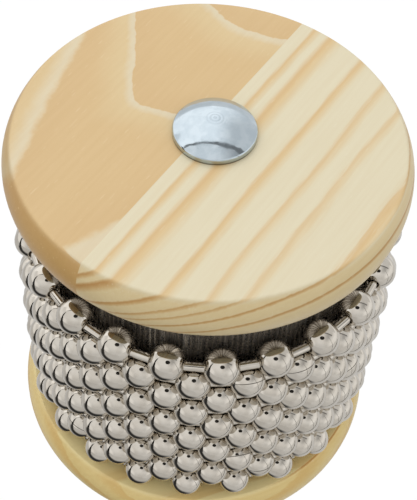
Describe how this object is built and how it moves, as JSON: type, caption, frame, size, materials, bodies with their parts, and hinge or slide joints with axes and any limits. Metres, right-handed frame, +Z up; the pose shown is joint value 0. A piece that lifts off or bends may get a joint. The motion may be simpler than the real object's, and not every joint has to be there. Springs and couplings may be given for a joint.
{
  "type": "cabasa",
  "caption": "Hand cabasa: loops of nickel ball chain hang round a ridged steel drum clamped between two wooden discs by a domed bolt into a turned handle, and rasp as they turn.",
  "frame": {"origin": "middle of the handle's flat end, on the drum's axis", "axes": "+Z up along the drum's axis, from the handle to the bolt head; the picture looks along +Y and down"},
  "size_m": [0.0823, 0.0827, 0.1971],
  "materials": {
    "flat_sawn_pine": "clear lacquer",
    "striped_pine": "clear lacquer",
    "pine": "clear lacquer",
    "dark_steel": "dark ridged sheet",
    "nickel": "bright nickel plate",
    "zinc": "bright zinc plate",
    "insert_zinc": "zinc plate"
  },
  "bodies": {
    "drum": {"top_disc_flat_board": "flat_sawn_pine", "top_disc_quarter_board": "striped_pine", "bottom_disc": "pine", "drum_core": "pine", "ridged_sleeve": "dark_steel", "carriage_bolt": "zinc", "threaded_insert": "insert_zinc", "handle": "pine"},
    "bead_net": {"bead_row_01": "nickel", "bead_row_02": "nickel", "bead_row_03": "nickel", "bead_row_04": "nickel", "bead_row_05": "nickel", "bead_row_06": "nickel", "bead_row_07": "nickel", "bead_row_08": "nickel", "bead_row_09": "nickel", "bead_row_10": "nickel", "link_row_01": "nickel", "link_row_02": "nickel", "link_row_03": "nickel", "link_row_04": "nickel", "link_row_05": "nickel", "link_row_06": "nickel", "link_row_07": "nickel", "link_row_08": "nickel", "link_row_09": "nickel", "link_row_10": "nickel"}
  },
  "joints": [
    {"name": "bead_net_spin", "type": "hinge", "parent": "drum", "child": "bead_net", "pos_m": [0, 0, 0.145], "axis": [0, 0, 1], "continuous": true}
  ]
}
